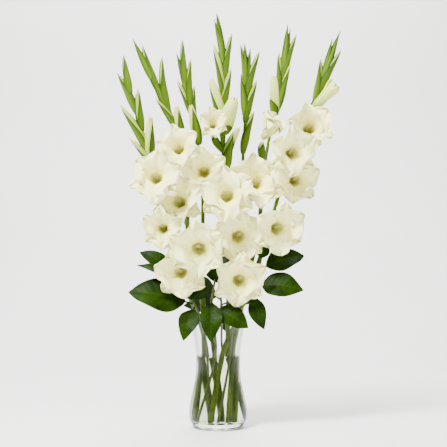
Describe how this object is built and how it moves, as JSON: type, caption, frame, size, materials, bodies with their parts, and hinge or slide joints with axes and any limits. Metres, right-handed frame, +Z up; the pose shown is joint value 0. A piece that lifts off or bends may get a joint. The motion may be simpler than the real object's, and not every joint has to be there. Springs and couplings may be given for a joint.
{
  "type": "cut gladioli in a glass vase",
  "caption": "Tall spikes of white gladioli with pointed green buds and broad filler leaves, standing in a clear hourglass-shaped glass vase of water.",
  "frame": {"origin": "centre of the vase's foot, on the surface that it stands on", "axes": "+Z up along the vase's axis and the longest extent; the flowers face -Y; +X to the viewer's right"},
  "size_m": [0.471, 0.2295, 0.868],
  "materials": {
    "vase_glass": "gloss",
    "water": "gloss",
    "stem_green": "satin",
    "petal_white": "matte",
    "twig": "satin",
    "leaf_green": "satin"
  },
  "bodies": {
    "root": {"glass_vase": "vase_glass", "water": "water", "gladiolus_01": "stem_green", "gladiolus_02": "stem_green", "gladiolus_03": "stem_green", "gladiolus_04": "stem_green", "gladiolus_05": "stem_green", "gladiolus_06": "stem_green", "gladiolus_07": "stem_green", "floret_01": "petal_white", "floret_02": "petal_white", "floret_03": "petal_white", "floret_04": "petal_white", "floret_05": "petal_white", "floret_06": "petal_white", "floret_07": "petal_white", "floret_08": "petal_white", "floret_09": "petal_white", "floret_10": "petal_white", "floret_11": "petal_white", "floret_12": "petal_white", "floret_13": "petal_white", "floret_14": "petal_white", "floret_15": "petal_white", "floret_16": "petal_white", "floret_17": "petal_white", "sprig_left": "twig", "sprig_front": "twig", "sprig_right": "twig", "sprig_back": "twig", "leaf_01": "leaf_green", "leaf_02": "leaf_green", "leaf_03": "leaf_green", "leaf_04": "leaf_green", "leaf_05": "leaf_green", "leaf_06": "leaf_green", "leaf_07": "leaf_green", "leaf_08": "leaf_green", "leaf_09": "leaf_green", "leaf_10": "leaf_green", "leaf_11": "leaf_green", "leaf_12": "leaf_green", "leaf_13": "leaf_green", "leaf_14": "leaf_green", "leaf_15": "leaf_green", "leaf_16": "leaf_green", "leaf_17": "leaf_green", "leaf_18": "leaf_green", "leaf_19": "leaf_green"}
  },
  "joints": []
}
